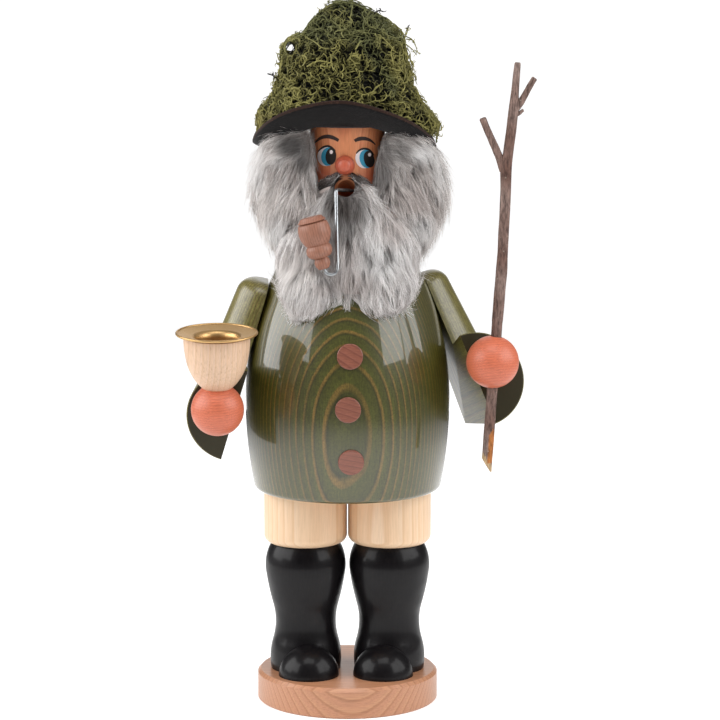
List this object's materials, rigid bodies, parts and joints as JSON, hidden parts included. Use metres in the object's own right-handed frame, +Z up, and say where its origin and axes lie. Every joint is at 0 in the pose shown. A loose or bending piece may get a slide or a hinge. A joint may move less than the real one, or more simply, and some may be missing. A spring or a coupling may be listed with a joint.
{
  "type": "German incense smoker",
  "caption": "Turned wooden smoking figure of a bearded woodsman with a moss hat, a pipe, a forked staff and a candle cup, which lifts off its legs for an incense cone.",
  "frame": {"origin": "centre of the base's underside, on the surface that it stands on", "axes": "+Z up, the figure faces -Y, +X to the figure's left, which is the right in the picture"},
  "size_m": [0.1493, 0.1075, 0.3002],
  "materials": {
    "base_beech": "clear satin lacquer on beech",
    "boot_lacquer": "black satin lacquer on turned wood",
    "pale_limewood": "clear satin lacquer on limewood",
    "raw_limewood": "raw turned limewood",
    "pressed_tin": "pressed tinplate",
    "tack_steel": "plain steel",
    "green_lacquer": "olive green stain under gloss lacquer",
    "coral_stained_wood": "coral stain under satin lacquer",
    "cup_beech": "clear satin lacquer on beech",
    "satin_brass": "satin drawn brass",
    "twig_bark": "natural bark",
    "skin_stained_wood": "skin-coloured stain with painted eyes",
    "nose_stained_wood": "reddish stain under satin lacquer",
    "bright_wire": "bright drawn wire",
    "pipe_brown_wood": "reddish brown stained wood",
    "button_brown_wood": "reddish brown stained wood",
    "black_felt": "pressed wool felt",
    "olive_moss": "preserved moss strands",
    "grey_fur": "long-haired pelt",
    "dark_fur": "long-haired pelt, dark part"
  },
  "bodies": {
    "stand": {"base_disc": "base_beech", "right_boot": "boot_lacquer", "left_boot": "boot_lacquer", "right_toe_cap": "boot_lacquer", "left_toe_cap": "boot_lacquer", "right_thigh": "pale_limewood", "left_thigh": "pale_limewood", "leg_dowels": "raw_limewood", "hip_plug": "raw_limewood", "incense_plate": "pressed_tin", "plate_tack": "tack_steel"},
    "figure": {"jacket": "green_lacquer", "right_upper_arm": "green_lacquer", "right_forearm": "green_lacquer", "left_upper_arm": "green_lacquer", "left_forearm": "green_lacquer", "shoulder_dowels": "raw_limewood", "right_hand": "coral_stained_wood", "left_hand": "coral_stained_wood", "hand_pegs": "raw_limewood", "candle_cup": "cup_beech", "head": "skin_stained_wood", "nose": "nose_stained_wood", "felt_hat": "black_felt", "hat_moss": "olive_moss", "right_side_hair": "grey_fur", "left_side_hair": "grey_fur", "back_hair": "grey_fur", "moustache": "dark_fur", "beard": "grey_fur", "upper_button": "button_brown_wood", "middle_button": "button_brown_wood", "lower_button": "button_brown_wood"},
    "candle_socket": {"candle_socket": "satin_brass"},
    "staff": {"staff": "twig_bark"},
    "pipe": {"pipe_wire": "bright_wire", "pipe_bowl": "pipe_brown_wood"}
  },
  "joints": [
    {"name": "lift_off", "type": "slide", "parent": "stand", "child": "figure", "axis": [0, 0, 1], "range_m": [0, 0.06]},
    {"name": "socket_lift", "type": "slide", "parent": "figure", "child": "candle_socket", "axis": [0, -0.0872, 0.9962], "range_m": [0, 0.02]},
    {"name": "staff_draw", "type": "slide", "parent": "figure", "child": "staff", "axis": [0.0663, 0, 0.9978], "range_m": [0, 0.06]},
    {"name": "pipe_draw", "type": "slide", "parent": "figure", "child": "pipe", "axis": [-0.4721, -0.8748, 0.1086], "range_m": [0, 0.012]}
  ]
}
